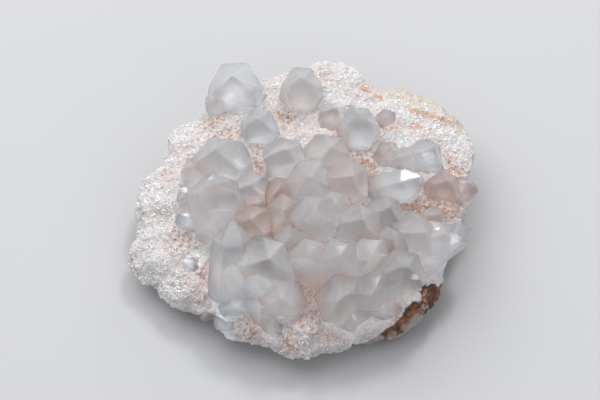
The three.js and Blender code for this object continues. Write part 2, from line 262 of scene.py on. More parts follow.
rockZones = {
    "stains": [  # x, y, z, radius, strength
        (-20.4, 22.2, 14.4, 4.2, 0.8), (-16.8, 16.8, 15.4, 3.6, 0.85), (-12.1, 10.8, 16.1, 3.4, 0.95),
        (-9.3, 6.5, 16.4, 2.8, 1.0), (-4.0, 21.8, 16.2, 4.0, 0.75), (-0.5, 25.1, 16.3, 2.6, 0.6),
        (5.4, 33.2, 16.1, 2.4, 0.5), (4.6, 15.8, 16.9, 2.6, 0.5), (13.8, 8.9, 16.9, 3.8, 1.0),
        (15.6, 3.7, 16.5, 2.8, 1.0), (24.7, -2.7, 15.9, 3.8, 1.0), (30.4, -3.7, 15.2, 3.6, 1.0),
        (33.9, -4.6, 14.5, 2.4, 0.8), (33.8, 10.0, 15.2, 2.2, 0.7), (35.3, 7.0, 14.7, 2.2, 0.7),
        (-30.1, 6.5, 14.2, 3.0, 0.6), (-27.4, -11.0, 14.1, 3.4, 0.8), (-22.0, -19.8, 13.3, 2.8, 0.9),
        (-22.0, -23.9, 11.2, 2.4, 0.8), (-9.6, -6.0, 16.8, 6.0, 0.9), (-6.2, -10.8, 16.0, 3.0, 1.0),
        (-4.4, 0.0, 17.2, 2.8, 0.9), (16.6, -10.6, 15.7, 3.2, 0.9), (1.8, -24.6, 14.8, 4.5, 0.6),
        (1.7, -31.4, 13.0, 4.0, 0.75), (6.3, -32.6, 10.6, 3.0, 0.7), (-2.7, -35.9, 9.6, 2.2, 0.9),
        (-11.8, -32.4, 10.2, 3.4, 0.9), (-12.9, -29.6, 12.2, 3.0, 0.8), (18.7, -28.0, 11.7, 4.0, 1.0),
        (26.8, 18.6, 15.9, 1.6, 1.0), (-25.5, 13.0, 14.5, 3.0, 0.35), (-34.0, -4.0, 11.0, 3.0, 0.4),
    ],
    "warm": [  # x, y, z, radius: pink patches in and under the crystals
        (-9.0, -7.0, 17.5, 7.5), (-4.4, 0.5, 18.0, 4.0), (16.6, -10.6, 17.0, 4.5), (2.5, -24.5, 17.0, 7.0),
        (29.0, 3.0, 16.5, 4.0), (33.0, -1.0, 15.0, 6.0), (17.5, 12.0, 17.0, 3.5), (7.5, 5.0, 18.0, 5.0),
        (-11.8, -31.0, 11.0, 4.0), (-20.0, 3.0, 16.0, 4.0), (9.0, 16.0, 17.5, 3.5),
    ],
    "streaks": [  # from x, y, to x, y, half a width, strength; all on the upper face
        (25.4, 23.6, 30.0, 21.7, 0.75, 1.0), (30.0, 21.7, 34.2, 20.6, 0.5, 1.0),
        (14.2, 29.8, 15.6, 28.9, 0.7, 0.9), (17.3, 27.9, 18.4, 27.1, 0.6, 0.9),
        (17.0, 19.0, 19.4, 17.3, 0.55, 0.8), (19.4, 17.3, 22.0, 18.2, 0.5, 0.8),
        (26.0, 18.5, 27.8, 18.7, 0.9, 0.55), (35.2, 18.9, 36.2, 17.6, 0.5, 0.7),
        (10.2, 9.4, 14.0, 3.4, 1.0, 0.45), (21.0, -3.6, 26.4, -3.0, 1.0, 0.55),
        (34.6, 8.6, 36.6, 5.6, 0.9, 0.5),
    ],
    "skySheen": [  # x, y, z, radius: bluish crystals, whose blue is a painted sky reflection
        (-14.4, 25.7, 21.0, 8.0), (-10.4, 14.5, 20.0, 6.0), (-17.6, 3.7, 21.0, 6.5), (-26.3, -2.4, 18.5, 3.0),
        (-27.1, -8.5, 17.0, 3.0), (-17.3, -18.3, 21.0, 6.0), (-9.4, -23.3, 22.0, 7.0),
        (-16.2, -30.3, 12.0, 7.0),
        (18.7, -9.9, 21.5, 5.0), (22.1, -8.8, 20.0, 4.0), (23.5, 1.6, 19.5, 4.5), (29.4, 9.1, 19.5, 5.0),
        (14.4, 14.1, 21.5, 6.0), (35.8, -11.4, 17.0, 4.5), (31.2, -15.8, 16.0, 4.0), (25.2, -25.3, 20.0, 4.0),
    ],
    "usualWarmth": 0.36,
    "rustSide": (0.62, -0.78, 0.0),  # the way the rusty wall faces
    "rustTop": [  # x, height where the rust ends
        (13, 3.6), (16.5, 5), (18.8, 6.2), (20.6, 8), (23.5, 11), (24.8, 11.9), (27.8, 11.6),
        (30.4, 10.6), (33, 8),
    ],
    "underReach": 20, "underPatch": 13,  # how far, and in what steps, rust creeps in under the foot
    "coverHeight": 12,  # a crystal within this height covers the rock
    "creamRim": ((17.5, 33.0, 13.0), (38.5, 21.0, 12.5), 4.5),  # from, to, reach
}


def zonesAt(points, normals):
    p = points / mm
    stain = np.zeros(len(p))
    for x, y, z, radius, strength in rockZones["stains"]:
        away = np.linalg.norm(p - (x, y, z), axis=1)
        stain = np.maximum(stain, strength * (1 - ramp(away, 0.4 * radius, 1.9 * radius)))
    side = np.array(rockZones["rustSide"])
    facing = ramp(normals @ side, -0.3, 0.25)
    outward = ramp(p @ side, 14, 26)  # rust lies on the outer wall only
    top = np.interp(p[:, 0], *zip(*rockZones["rustTop"]))
    low = 1 - ramp(p[:, 2], top - 1.4, top + 1.4)
    sector = ramp(p[:, 0], 10, 17)
    ragged = p[:, 0] + rockZones["underReach"] * waves(points, rockZones["underPatch"] * mm, 4)
    under = ramp(-normals[:, 2], 0.25, 0.75) * (0.2 + 0.8 * ramp(ragged, 0, 22)) * ramp(p[:, 1], -37, -30)
    rust = np.maximum(facing * outward * low * sector, under)
    start, end, reach = rockZones["creamRim"]
    start, end = np.array(start), np.array(end)
    along = np.clip((p - start) @ (end - start) / ((end - start) @ (end - start)), 0, 1)
    away = np.linalg.norm(p - (start + along[:, None] * (end - start)), axis=1)
    cream = 1 - ramp(away, 0.45 * reach, 1.2 * reach)
    streak = np.zeros(len(p))
    for x0, y0, x1, y1, wide, strength in rockZones["streaks"]:
        start, run = np.array((x0, y0)), np.array((x1 - x0, y1 - y0))
        along = np.clip((p[:, :2] - start) @ run / (run @ run), 0, 1)
        away = np.linalg.norm(p[:, :2] - (start + along[:, None] * run), axis=1)
        streak = np.maximum(streak, strength * (1 - ramp(away, 0.3 * wide, 1.6 * wide)) * (p[:, 2] > 11))
    return stain, rust, cream, streak


def patchesAt(points, patches):
    share = np.zeros(len(points))
    for x, y, z, radius in patches:
        away = np.linalg.norm(points / mm - (x, y, z), axis=1)
        share = np.maximum(share, 1 - ramp(away, 0.3 * radius, 1.3 * radius))
    return share


def warmthAt(points):
    # 0 for bluish (painted sky reflection), 1 for pink
    usual = rockZones["usualWarmth"]
    warm, skySheen = patchesAt(points, rockZones["warm"]), patchesAt(points, rockZones["skySheen"])
    return np.clip(usual + (1 - usual) * warm - skySheen, 0, 1)


def treeOf(nodes):
    # the surfaces of several CAD nodes in one tree
    corners, faces = [], []
    for node in nodes:
        source = frame["nodes"][node].data
        faces += [tuple(v + len(corners) for v in f.vertices) for f in source.polygons]
        corners += [v.co.copy() for v in source.vertices]
    return BVHTree.FromPolygons(corners, faces)


crystalTree = treeOf(crystalNodes)


def coverAt(points):
    # 1 where a crystal stands on the rock
    up = Vector((0, 0, 1))
    reach = rockZones["coverHeight"] * mm
    return np.array([crystalTree.ray_cast(Vector(p), up, reach)[3] is not None for p in points], float)


def storeZones(mesh):
    points = meshPoints(mesh)
    stain, rust, cream, streak = zonesAt(points, meshNormals(mesh))
    zones = {"cover": spread(mesh, coverAt(points), 6), "stain": stain, "rust": rust, "cream": cream,
             "streak": streak, "warmth": warmthAt(points)}
    for name, values in zones.items():
        storeValues(mesh, name, values)
    return stain, rust, cream


# the colour of the rock, shared by its body and its grains

rockColours = {
    "white": (0.60, 0.595, 0.595, 1), "palePink": (0.59, 0.53, 0.52, 1),
    "creamLight": (0.58, 0.54, 0.46, 1), "creamDark": (0.52, 0.46, 0.37, 1),
    "blush": (0.58, 0.43, 0.39, 1),  # bare rock among the pink crystals
    "skySheenUnder": (0.81, 0.87, 0.92, 1), "warmUnder": (0.94, 0.80, 0.74, 1),  # rock under a crystal, lighter and free of stains; the bluish one carries the painted sky reflection of the bluish crystals
    "wash": (0.53, 0.36, 0.27, 1),  # thin brown round the specks
    "speckDark": (0.36, 0.18, 0.10, 1), "speckLight": (0.48, 0.30, 0.23, 1),
    "ochreDark": (0.48, 0.25, 0.14, 1), "ochreLight": (0.60, 0.42, 0.30, 1),
    "rustDark": (0.055, 0.024, 0.014, 1), "rustLight": (0.29, 0.125, 0.048, 1),
    "crust": (0.37, 0.35, 0.34, 1),  # grey skin on the rust
    "pits": (0.80, 0.66, 0.60, 1),  # multiplies the colour between the grains
    "grain": (0.71, 0.71, 0.715, 1),
}


def rockTintGroup():
    tree, given, out = newTree("rockTint", "ShaderNodeTree", [
        ("Vector", "NodeSocketVector", None), ("Stain", "NodeSocketFloat", 0.0),
        ("Rust", "NodeSocketFloat", 0.0), ("Cream", "NodeSocketFloat", 0.0),
        ("Cover", "NodeSocketFloat", 0.0), ("Streak", "NodeSocketFloat", 0.0),
        ("Warmth", "NodeSocketFloat", 0.0),
        ("Speck Size", "NodeSocketFloat", 0.0009), ("Specks", "NodeSocketFloat", 1.0),
    ], [("Color", "NodeSocketColor"), ("Dark", "NodeSocketFloat")])
    vector = given["Vector"]
    tint = rockColours
    patches = remap(tree, noise(tree, vector, 0.009, 4, 0.6), 0.42, 0.72)
    colour = blendColours(tree, patches, tint["white"], tint["palePink"])
    cream = blendColours(tree, noise(tree, vector, 0.003, 4, 0.6), tint["creamLight"], tint["creamDark"])
    colour = blendColours(tree, calc(tree, "MULTIPLY", given["Cream"], 0.8), colour, cream)
    blush = calc(tree, "MULTIPLY", remap(tree, given["Warmth"], 0.45, 1.0), 0.6)
    colour = blendColours(tree, blush, colour, tint["blush"])
    speckNode = addNode(tree, "ShaderNodeTexNoise")
    feed(tree, vector, speckNode.inputs["Vector"])
    feed(tree, calc(tree, "DIVIDE", 1.0, given["Speck Size"]), speckNode.inputs["Scale"])
    feed(tree, 3.0, speckNode.inputs["Detail"])
    feed(tree, 0.7, speckNode.inputs["Roughness"])
    edge = calc(tree, "MULTIPLY_ADD", given["Stain"], -0.17, 0.64)
    specks = remap(tree, speckNode.outputs[0], edge, calc(tree, "ADD", edge, 0.09))
    specks = calc(tree, "MULTIPLY", specks, given["Specks"])
    wash = calc(tree, "MULTIPLY", given["Stain"], remap(tree, noise(tree, vector, 0.004, 3), 0.35, 0.7))
    colour = blendColours(tree, calc(tree, "MULTIPLY", wash, 0.6), colour, tint["wash"])
    brown = blendColours(tree, noise(tree, vector, 0.0025, 2), tint["speckDark"], tint["speckLight"])
    colour = blendColours(tree, calc(tree, "MULTIPLY", specks, 0.95), colour, brown)
    # under a crystal the rock is clean and light, and bluish where that crystal has a painted sky reflection
    clean = blendColours(tree, given["Warmth"], tint["skySheenUnder"], tint["warmUnder"])
    stainless = calc(tree, "MULTIPLY_ADD", given["Warmth"], -0.45, 0.97)
    colour = blendColours(tree, calc(tree, "MULTIPLY", given["Cover"], stainless), colour, clean)
    frayed = calc(tree, "MULTIPLY_ADD", noise(tree, vector, 0.0014, 4, 0.65), 0.9, -0.45)
    streak = remap(tree, calc(tree, "ADD", given["Streak"], frayed), 0.3, 0.6)
    streak = calc(tree, "MULTIPLY", streak, remap(tree, given["Streak"], 0.02, 0.3))
    ochre = blendColours(tree, noise(tree, vector, 0.002, 3), tint["ochreDark"], tint["ochreLight"])
    colour = blendColours(tree, calc(tree, "MULTIPLY", streak, 0.85), colour, ochre)
    broken = noise(tree, vector, 0.0035, 5, 0.7, 0.6)
    rust = blendColours(tree, remap(tree, broken, 0.40, 0.62), tint["rustDark"], tint["rustLight"])
    height = addNode(tree, "ShaderNodeSeparateXYZ")
    feed(tree, vector, height.inputs[0])
    lowDown = remap(tree, height.outputs["Z"], 0.0045, 0.0085, 0.13, 0.0)  # more crust near the foot
    crust = calc(tree, "ADD", noise(tree, vector, 0.006, 5, 0.65, 0.4), lowDown)
    rust = blendColours(tree, remap(tree, crust, 0.57, 0.67), rust, tint["crust"])
    rustEdge = calc(tree, "MULTIPLY_ADD", noise(tree, vector, 0.005, 5, 0.65), 0.8, -0.4)
    rustShare = remap(tree, calc(tree, "ADD", given["Rust"], rustEdge), 0.35, 0.6)
    rustShare = calc(tree, "MULTIPLY", rustShare, remap(tree, given["Rust"], 0.02, 0.2))
    tree.links.new(blendColours(tree, rustShare, colour, rust), out["Color"])
    tree.links.new(calc(tree, "MAXIMUM", specks, rustShare), out["Dark"])
    return tree


rockTint = rockTintGroup()


def placeRockTint(tree, vector, specks):
    zones = {name.capitalize(): attribute(tree, name)
             for name in ("stain", "rust", "cream", "cover", "streak", "warmth")}
    return place(tree, rockTint, Vector=vector, Specks=specks, **zones)


# rock: a fine, broken copy of the CAD rock

rockShape = {
    "voxel": 0.46 * mm,
    "Block Height": 1.7 * mm, "Block Size": 6.0 * mm,  # broken faces
    "Lump Height": 2.2 * mm, "Lump Size": 3.2 * mm,
    "Grit Height": 0.6 * mm, "Grit Size": 1.1 * mm,
    "Foot Height": 1.6 * mm,  # nothing moves on the foot, and everything above this
}


def rockFaceTree():
    tree, given, out = newTree("rockFace", "GeometryNodeTree", [
        ("Geometry", "NodeSocketGeometry", None), ("Block Height", "NodeSocketFloat", 0.0),
        ("Block Size", "NodeSocketFloat", 1.0), ("Lump Height", "NodeSocketFloat", 0.0),
        ("Lump Size", "NodeSocketFloat", 1.0), ("Grit Height", "NodeSocketFloat", 0.0),
        ("Grit Size", "NodeSocketFloat", 1.0), ("Foot Height", "NodeSocketFloat", 1.0),
        ("Material", "NodeSocketMaterial", None),
    ], [("Geometry", "NodeSocketGeometry")])
    position = addNode(tree, "GeometryNodeInputPosition").outputs[0]
    normal = addNode(tree, "GeometryNodeInputNormal").outputs[0]

    def layer(kind, height, size, **settings):
        if kind == "cells":
            node = addNode(tree, "ShaderNodeTexVoronoi", **settings)
        else:
            node = addNode(tree, "ShaderNodeTexNoise", **settings)
            node.inputs["Detail"].default_value = 3
            node.inputs["Roughness"].default_value = 0.6
        tree.links.new(position, node.inputs["Vector"])
        tree.links.new(calc(tree, "DIVIDE", 1.0, size), node.inputs["Scale"])
        centred = calc(tree, "SUBTRACT", 0.5, node.outputs[0])
        return calc(tree, "MULTIPLY", centred, height)

    push = calc(tree, "ADD", layer("cells", given["Block Height"], given["Block Size"]),
                layer("noise", given["Lump Height"], given["Lump Size"]))
    push = calc(tree, "ADD", push, layer("cells", given["Grit Height"], given["Grit Size"]))
    height = addNode(tree, "ShaderNodeSeparateXYZ")
    tree.links.new(position, height.inputs[0])
    free = remap(tree, height.outputs["Z"], 0.0002, given["Foot Height"])
    offset = addNode(tree, "ShaderNodeVectorMath", operation="SCALE")
    tree.links.new(normal, offset.inputs[0])
    tree.links.new(calc(tree, "MULTIPLY", push, free), offset.inputs["Scale"])
    move = addNode(tree, "GeometryNodeSetPosition")
    tree.links.new(given["Geometry"], move.inputs["Geometry"])
    tree.links.new(offset.outputs[0], move.inputs["Offset"])
    paint = addNode(tree, "GeometryNodeSetMaterial")
    tree.links.new(move.outputs[0], paint.inputs["Geometry"])
    tree.links.new(given["Material"], paint.inputs["Material"])
    tree.links.new(paint.outputs[0], out["Geometry"])
    return tree


def rockMaterial():
    material, tree, shader = newMaterial("sugaryRock")
    vector = addNode(tree, "ShaderNodeTexCoord").outputs["Object"]
    tint = placeRockTint(tree, vector, 1.0)
    # the colour is darker and pinker in the pits between the grains
    pits = remap(tree, cells(tree, vector, 0.00075), 0.25, 0.75)
    pits = calc(tree, "MULTIPLY", pits, 0.55)
    colour = blendColours(tree, pits, tint["Color"], rockColours["pits"], "MULTIPLY")
    tree.links.new(colour, shader.inputs["Base Color"])
    tree.links.new(remap(tree, noise(tree, vector, 0.0008, 3), 0.3, 0.7, 0.45, 0.8), shader.inputs["Roughness"])
    bump = addNode(tree, "ShaderNodeBump")
    bump.inputs["Strength"].default_value = 0.9
    bump.inputs["Distance"].default_value = 0.0003
    grainy = calc(tree, "SUBTRACT", 1.0, cells(tree, vector, 0.00065))
    tree.links.new(calc(tree, "ADD", grainy, noise(tree, vector, 0.0003, 4, 0.7)), bump.inputs["Height"])
    tree.links.new(bump.outputs[0], shader.inputs["Normal"])
    shader.inputs["Specular IOR Level"].default_value = 0.45
    return material


cadRock = mergedCopy("matrix_rock", "cadRock")
rockTree = bvhOf(cadRock.data)  # the CAD rock's own surface
rock = newPiece("rock", cadRock.data.copy())
voxelMesh(rock, rockShape["voxel"])
runTree(rock, rockFaceTree(), Material=rockMaterial(), **{k: v for k, v in rockShape.items() if k != "voxel"})
smoothFaces(rock.data)
stain, rust, cream = storeZones(rock.data)
print("rock", len(rock.data.polygons), "faces")


# crystals: fine copies of the CAD crystals, rooted in the rock

crystalShape = {
    "voxel": 0.24 * mm,
    "rootDepth": 1.5 * mm,  # how far a foot is pushed into the rock
    "rootReach": 0.7 * mm,  # what is nearer to the rock than this is foot
    "flatness": 0.85,  # how closely the fine mesh keeps to the crystal's own faces
    "rounding": 4,  # passes that soften the edges between faces
    "swell": 0.14 * mm,  # makes up for the rounding and brings neighbours into touch
    "ripple": 0.05 * mm,
    "rippleSize": 2.4 * mm,
    "fineRipple": 0.4, "fineRippleSize": 0.35,  # shares of the two above
    "edgePasses": 3, "edgeDepth": 0.1 * mm,  # an edge that the rounding takes this much off is painted white, a painted highlight
    "hollowPasses": 40, "hollowDepth": 0.28 * mm,  # a hollow this deep is stained
    "blurPasses": 4,
    "touchReach": 1.6 * mm,  # nearer to another crystal than this is stained
    "tintHeight": 9 * mm,  # the pink of the foot fades out over this
    "hem": (0.0, -1.0),  # from this height down to this one, a foot is drawn in to the rock
    "hemDepth": 0.5 * mm,  # and pushed into it
    "seed": 7,
}
ownShape = {  # where a crystal differs from that
    "bright_faced_crystal": {"rounding": 2, "ripple": 0.004 * mm, "shiningFace": (0.084, -0.033, 0.996)},
    "top_left_pair": {"hem": (15.5 * mm, 10.5 * mm)},  # stands out over the rim
    "right_edge_pair": {"rounding": 2},
}


crystalTints = {  # slot: name, colour at the foot, colour at the tip (paler, and on the clear crystal bluish: a painted sky reflection), what the inside lets through, density
    "clear_crystal": ("clearCrystal", (0.99, 0.955, 0.935, 1), (0.93, 0.98, 1.0, 1), (0.95, 0.94, 0.93, 1), 8),
    "pink_crystal": ("pinkCrystal", (0.84, 0.74, 0.72, 1), (0.88, 0.84, 0.83, 1), (0.85, 0.80, 0.79, 1), 38),
}
crystalLook = {
    "ior": 1.54,
    "transmission": 0.94,
    "frosted": 0.30, "etched": 0.15,  # roughness, and what etched patches add to it
    "haze": 0.12,
    "blush": 0.65, "blushColour": (0.98, 0.83, 0.79, 1),
    "stain": 0.8, "stainColour": (0.80, 0.48, 0.36, 1),  # brown in the joins between crystals
    "veil": 0.4, "veilColour": (0.98, 0.97, 0.97, 1),
    # edge: white painted along the crystals' rounded edges, a painted highlight
    "edge": 0.5, "edgeHighlightColour": (0.98, 0.98, 0.98, 1),
    "dullPolish": 0.15, "brightPolish": 0.8, "polishRoughness": 0.12,
}


def clearMaterial(name, foot, tip, absorption, density):
    look = crystalLook
    material, tree, shader = newMaterial(name)
    vector = addNode(tree, "ShaderNodeTexCoord").outputs["Object"]
    rise, facet = attribute(tree, "rise"), attribute(tree, "facet")
    edge, valley, warmth = attribute(tree, "edge"), attribute(tree, "valley"), attribute(tree, "warmth")
    cloud = noise(tree, vector, 0.006, 3, 0.55)
    veil = remap(tree, noise(tree, vector, 0.003, 5, 0.65, 0.8), 0.5, 0.72)
    share = calc(tree, "MULTIPLY_ADD", cloud, 0.7, calc(tree, "SUBTRACT", rise, 0.2), clamp=True)
    share = calc(tree, "MULTIPLY", share, calc(tree, "SUBTRACT", 1.0, calc(tree, "MULTIPLY", valley, 0.8)))
    # pinker at the foot, paler at the tip; the clear crystal's bluish tip is a painted sky reflection
    colour = blendColours(tree, share, foot, tip)
    blush = calc(tree, "MULTIPLY", warmth, remap(tree, noise(tree, vector, 0.004, 3), 0.3, 0.65, 0.3, 1.0))
    colour = blendColours(tree, calc(tree, "MULTIPLY", blush, look["blush"]), colour, look["blushColour"])
    stained = calc(tree, "MULTIPLY", valley, remap(tree, noise(tree, vector, 0.005, 4, 0.6), 0.45, 0.62))
    colour = blendColours(tree, calc(tree, "MULTIPLY", stained, look["stain"]), colour, look["stainColour"])
    colour = blendColours(tree, calc(tree, "MULTIPLY", veil, look["veil"]), colour, look["veilColour"])
    # painted highlight: white along the rounded edges
    colour = blendColours(tree, calc(tree, "MULTIPLY", edge, look["edge"]), colour, look["edgeHighlightColour"])
    haze = remap(tree, noise(tree, vector, 0.0038, 4, 0.6, 1.2), 0.38, 0.62, look["haze"], 0.0)
    colour = blendColours(tree, haze, colour, (0, 0, 0, 1))
    tree.links.new(colour, shader.inputs["Base Color"])
    etched = remap(tree, noise(tree, vector, 0.0022, 4, 0.6), 0.35, 0.7, 0.0, look["etched"])
    tree.links.new(calc(tree, "ADD", etched, look["frosted"]), shader.inputs["Roughness"])
    polish = remap(tree, facet, 0.7, 1.0, look["dullPolish"], look["brightPolish"])
    polish = calc(tree, "MULTIPLY", polish, remap(tree, cloud, 0.75, 0.4))
    tree.links.new(polish, shader.inputs["Coat Weight"])
    shader.inputs["Coat Roughness"].default_value = look["polishRoughness"]
    shader.inputs["Coat IOR"].default_value = look["ior"]
    bump = addNode(tree, "ShaderNodeBump")
    bump.inputs["Strength"].default_value = 0.35
    bump.inputs["Distance"].default_value = 0.0002
    tree.links.new(noise(tree, vector, 0.0009, 5, 0.65, 0.4), bump.inputs["Height"])
    tree.links.new(bump.outputs[0], shader.inputs["Normal"])
    shader.inputs["IOR"].default_value = look["ior"]
    shader.inputs["Transmission Weight"].default_value = look["transmission"]
    shader.inputs["Subsurface Weight"].default_value = 1.0
    shader.inputs["Subsurface Radius"].default_value = (1.0, 0.85, 0.8)
    shader.inputs["Subsurface Scale"].default_value = 0.006
    volume = addNode(tree, "ShaderNodeVolumeAbsorption")
    volume.inputs["Color"].default_value = absorption
    volume.inputs["Density"].default_value = density
    tree.links.new(volume.outputs[0], tree.nodes["Material Output"].inputs["Volume"])
    return material


def facetValues(mesh, rng, shiningFace):
    # one random value for each flat face of the crystal, for every triangle of it
    groups, values = {}, []
    for face in mesh.polygons:
        key = tuple(round(x * 20) for x in face.normal)  # one key for triangles that face one way
        if key not in groups:
            groups[key] = rng.random()
        if shiningFace:  # this crystal shines on that face alone
            groups[key] = 1.0 if face.normal.angle(Vector(shiningFace)) < math.radians(8) else 0.2
        values.append(groups[key])
    return values


def fineCrystal(node, rng):
    shape = crystalShape | ownShape.get(node, {})
    coarse = mergedCopy(node, node + "_coarse")
    others = treeOf([other for other in crystalNodes if other != node])
    for vertex in coarse.data.vertices:
        _, normal, _, away = rockTree.find_nearest(vertex.co)
        if away < shape["rootReach"]:
            vertex.co -= normal * shape["rootDepth"]
    surface = bvhOf(coarse.data)
    values = facetValues(coarse.data, rng, shape.get("shiningFace"))
    piece = newPiece(node + "_fine", coarse.data.copy())
    voxelMesh(piece, shape["voxel"])
    points = meshPoints(piece.data)
    facet, rise, touch = np.zeros(len(points)), np.zeros(len(points)), np.zeros(len(points))
    for i, point in enumerate(points):
        nearest = others.find_nearest(Vector(point), shape["touchReach"])[3]
        touch[i] = 0 if nearest is None else 1 - nearest / shape["touchReach"]
        spot, _, index, _ = surface.find_nearest(Vector(point))
        facet[i] = values[index]
        points[i] += (np.array(spot) - point) * shape["flatness"]
        ground, normal, _, away = rockTree.find_nearest(Vector(point))
        rise[i] = away / shape["tintHeight"]
        drawn = 1 - ramp(point[2], shape["hem"][1], shape["hem"][0])
        points[i] += (np.array(ground - normal * shape["hemDepth"]) - points[i]) * drawn
    setPoints(piece.data, points)
    evened = spread(piece.data, points, shape["hollowPasses"])
    hollow = np.sum((evened - points) * meshNormals(piece.data), axis=1)
    rounded = spread(piece.data, points, shape["rounding"])
    bulge = np.sum((points - rounded) * meshNormals(piece.data), axis=1)
    bulge = spread(piece.data, bulge, shape["edgePasses"])
    setPoints(piece.data, rounded)
    push = shape["swell"] + shape["ripple"] * waves(rounded, shape["rippleSize"], 1)
    fine = waves(rounded, shape["fineRippleSize"] * shape["rippleSize"], 2)
    push += shape["fineRipple"] * shape["ripple"] * fine
    setPoints(piece.data, rounded + meshNormals(piece.data) * push[:, None])
    smoothFaces(piece.data)
    storeValues(piece.data, "facet", spread(piece.data, facet, shape["blurPasses"]))
    storeValues(piece.data, "rise", np.clip(rise, 0, 1))
    storeValues(piece.data, "edge", np.clip(bulge / shape["edgeDepth"], 0, 1))
    hollow = np.clip(spread(piece.data, hollow, shape["blurPasses"]) / shape["hollowDepth"], 0, 1)
    storeValues(piece.data, "valley", np.maximum(hollow, ramp(touch, 0.1, 1)))
    bpy.data.objects.remove(coarse)
    return piece


crystalMaterials = {slot: clearMaterial(*tints) for slot, tints in crystalTints.items()}
slots = {s["node"]: s["material_slot"] for s in frame["record"]["subparts"]}
rng = np.random.default_rng(crystalShape["seed"])
crystals = []
for node in crystalNodes:
    piece = fineCrystal(node, rng)
    piece.data.materials.clear()
    piece.data.materials.append(crystalMaterials[slots[node]])
    storeValues(piece.data, "warmth", warmthAt(meshPoints(piece.data)))
    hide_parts(node)
    crystals.append(piece)
print("crystals", sum(len(c.data.polygons) for c in crystals), "faces")


# frost and glints: white healed cracks and etched patches in the crystals' skin, which also serve as painted
# white and bluish glints

frostAndGlintShape = {
    "places": [  # x, y, z, radius, strength
        (28.7, 8.6, 19.0, 2.5, 1.0), (29.8, 8.2, 19.6, 1.8, 1.0), (-27.0, -1.3, 20.0, 1.9, 0.8),
        (-27.8, -2.9, 18.4, 2.0, 0.7), (-26.4, -8.2, 18.2, 2.6, 0.85), (-26.1, -17.8, 14.4, 2.8, 1.1),
        (25.2, -24.9, 21.0, 1.6, 1.0), (30.7, -11.6, 19.8, 1.0, 0.9),
        (34.6, -13.4, 18.1, 2.8, 0.75), (-20.5, -1.1, 24.9, 2.4, 0.6), (38.0, 2.4, 18.0, 2.4, 0.5),
    ],
    "lift": 0.03 * mm,  # above the crystal's own skin
    "thickest": 0.62,  # alpha where a patch is strongest
    # white and bluish patches: partly frosted cracks, partly painted glints of light
    "blue": (0.80, 0.89, 0.98, 1), "white": (0.95, 0.97, 1.0, 1),
}


def frostAndGlintMesh():
    # the patches are copies of the crystals' skin
    corners, faces, strengths = [], [], []
    patches = [(crystalTree.find_nearest(Vector((x, y, z)) * mm)[0], radius, strength)
               for x, y, z, radius, strength in frostAndGlintShape["places"]]
    for crystal in crystals:
        points, normals = meshPoints(crystal.data), meshNormals(crystal.data)
        share = np.zeros(len(points))
        for spot, radius, strength in patches:
            away = np.linalg.norm(points - np.array(spot), axis=1) / mm
            share = np.maximum(share, strength * (1 - ramp(away, 0.1 * radius, 1.1 * radius)))
        kept = [tuple(f.vertices) for f in crystal.data.polygons if share[list(f.vertices)].max() > 0]
        used = sorted({v for face in kept for v in face})
        number = {v: len(corners) + i for i, v in enumerate(used)}
        corners += (points[used] + normals[used] * frostAndGlintShape["lift"]).tolist()
        faces += [tuple(number[v] for v in face) for face in kept]
        strengths += share[used].tolist()
    mesh = bpy.data.meshes.new("frost")
    mesh.from_pydata(corners, [], faces)
    smoothFaces(mesh)
    storeValues(mesh, "strength", strengths)
    return mesh


def frostAndGlintMaterial():
    material, tree, shader = newMaterial("whiteFrost")
    vector = addNode(tree, "ShaderNodeTexCoord").outputs["Object"]
    strength = attribute(tree, "strength")
    # bluish to white: painted glints over the frosted patches
    colour = blendColours(tree, noise(tree, vector, 0.0012, 2), frostAndGlintShape["blue"], frostAndGlintShape["white"])
    tree.links.new(colour, shader.inputs["Base Color"])
    tree.links.new(remap(tree, noise(tree, vector, 0.0006, 2), 0.3, 0.7, 0.25, 0.6), shader.inputs["Roughness"])
    drawn = addNode(tree, "ShaderNodeMapping")  # the wisps are drawn out along the cracks
    feed(tree, vector, drawn.inputs["Vector"])
    drawn.inputs["Rotation"].default_value = (0.4, 0.3, 0.9)
    drawn.inputs["Scale"].default_value = (1.0, 2.2, 1.4)
    frayed = calc(tree, "MULTIPLY_ADD", noise(tree, drawn.outputs[0], 0.0022, 4, 0.6, 0.5), 1.5, -0.75)
    wisps = remap(tree, calc(tree, "ADD", strength, frayed), 0.35, 0.9, 0.0, frostAndGlintShape["thickest"])
    alpha = calc(tree, "MULTIPLY", wisps, remap(tree, strength, 0.05, 0.3))
    tree.links.new(alpha, shader.inputs["Alpha"])
    bump = addNode(tree, "ShaderNodeBump")
    bump.inputs["Strength"].default_value = 0.6
    bump.inputs["Distance"].default_value = 0.0002
    tree.links.new(noise(tree, vector, 0.0005, 3, 0.6), bump.inputs["Height"])
    tree.links.new(bump.outputs[0], shader.inputs["Normal"])
    return material


frost = newPiece("frost", frostAndGlintMesh())
frost.data.materials.append(frostAndGlintMaterial())
print("frost", len(frost.data.polygons), "faces")


# sugar: small rhombs of rock crystal scattered over the rock

sugarShape = {
    "topSpacing": 0.47 * mm, "sideSpacing": 0.62 * mm,
    "bareBelow": 1.2 * mm, "fullAbove": 2.6 * mm,  # the foot has no grains
    "Smallest": 0.24 * mm, "Largest": 0.52 * mm,
    "Sink": 0.12 * mm,  # how deep a grain sits in the rock
    "Seed": 11,
}


def grainMeshes(collection):
    # three rhombs, each leaning its own way
    for number, (lean, tall) in enumerate([(0.25, 0.9), (0.4, 0.7), (0.1, 1.1)]):
        work = bmesh.new()
        bmesh.ops.create_cube(work, size=1)
        for vertex in work.verts:
            vertex.co.x += lean * vertex.co.z + 0.2 * lean * vertex.co.y
            vertex.co.z *= tall
        mesh = bpy.data.meshes.new(f"grain{number}")
        work.to_mesh(mesh)
        work.free()
        collection.objects.link(bpy.data.objects.new(f"grain{number}", mesh))


